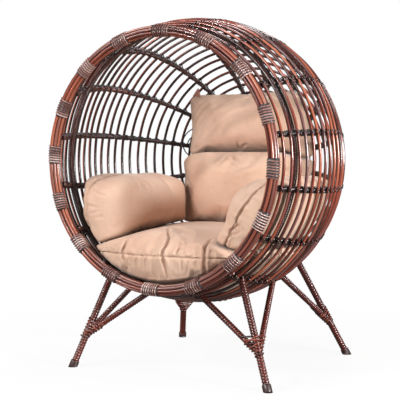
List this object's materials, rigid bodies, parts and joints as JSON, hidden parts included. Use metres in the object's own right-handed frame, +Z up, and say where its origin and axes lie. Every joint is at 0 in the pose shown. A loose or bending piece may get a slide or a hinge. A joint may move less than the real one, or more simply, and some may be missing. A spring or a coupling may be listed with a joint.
{
  "type": "round wicker egg chair",
  "caption": "Round open-fronted wicker basket chair on splayed braced legs, with loose seat, arm, back and headrest cushions.",
  "frame": {"origin": "on the floor under the middle of the whole chair", "axes": "+Z up, the open front faces -Y, +X is to the right of someone facing the chair"},
  "size_m": [0.9498, 0.7777, 1.1729],
  "materials": {
    "cane": "satin woven resin cane",
    "wrapped_frame": "dark resin strand wound round a tube",
    "wrapped_leg": "resin strand wound in a spiral round a tube",
    "foot_cap": "moulded cap",
    "cushion_fabric": "matt woven polyester"
  },
  "bodies": {
    "frame": {"rim_bundle": "cane", "main_hoop": "wrapped_frame", "hoop_01": "cane", "hoop_02": "cane", "hoop_03": "cane", "hoop_04": "cane", "hoop_05": "cane", "hoop_06": "cane", "hoop_07": "cane", "hoop_08": "cane", "hoop_09": "cane", "hoop_10": "cane", "hoop_11": "cane", "hoop_12": "cane", "hoop_13": "cane", "hoop_14": "cane", "hoop_15": "cane", "hoop_16": "cane", "hoop_17": "cane", "hoop_18": "cane", "hoop_19": "cane", "hoop_20": "cane", "hoop_21": "cane", "hoop_22": "cane", "hoop_23": "cane", "hoop_24": "cane", "hoop_25": "cane", "hoop_26": "cane", "rib_01": "wrapped_frame", "rib_02": "wrapped_frame", "rib_03": "wrapped_frame", "rib_04": "wrapped_frame", "rib_05": "wrapped_frame", "rib_06": "wrapped_frame", "rib_07": "wrapped_frame", "rib_08": "wrapped_frame", "rib_09": "wrapped_frame", "rib_10": "wrapped_frame", "rib_11": "wrapped_frame", "rib_12": "wrapped_frame", "rib_13": "wrapped_frame", "rib_14": "wrapped_frame", "rib_15": "wrapped_frame", "rib_16": "wrapped_frame", "back_hub": "wrapped_frame", "leg_front_left": "wrapped_leg", "leg_front_right": "wrapped_leg", "leg_back_left": "wrapped_leg", "leg_back_right": "wrapped_leg", "foot_front_left": "foot_cap", "foot_front_right": "foot_cap", "foot_back_left": "foot_cap", "foot_back_right": "foot_cap"},
    "seat": {"seat_cushion": "cushion_fabric"},
    "arm_left": {"arm_cushion_left": "cushion_fabric"},
    "arm_right": {"arm_cushion_right": "cushion_fabric"},
    "back": {"back_cushion": "cushion_fabric"},
    "headrest": {"headrest_cushion": "cushion_fabric"}
  },
  "joints": [
    {"name": "seat_lift", "type": "slide", "parent": "frame", "child": "seat", "axis": [0, -0.5, 0.866], "range_m": [0, 0.02]},
    {"name": "arm_left_lift", "type": "slide", "parent": "seat", "child": "arm_left", "axis": [0.5, 0, 0.866], "range_m": [0, 0.03]},
    {"name": "arm_right_lift", "type": "slide", "parent": "seat", "child": "arm_right", "axis": [-0.5, 0, 0.866], "range_m": [0, 0.03]},
    {"name": "back_lift", "type": "slide", "parent": "seat", "child": "back", "axis": [0, -0.5, 0.866], "range_m": [0, 0.018]},
    {"name": "headrest_fold", "type": "hinge", "parent": "back", "child": "headrest", "pos_m": [0, 0.1815, 0.72915], "axis": [1, 0, 0], "range_deg": [0, 35]}
  ]
}
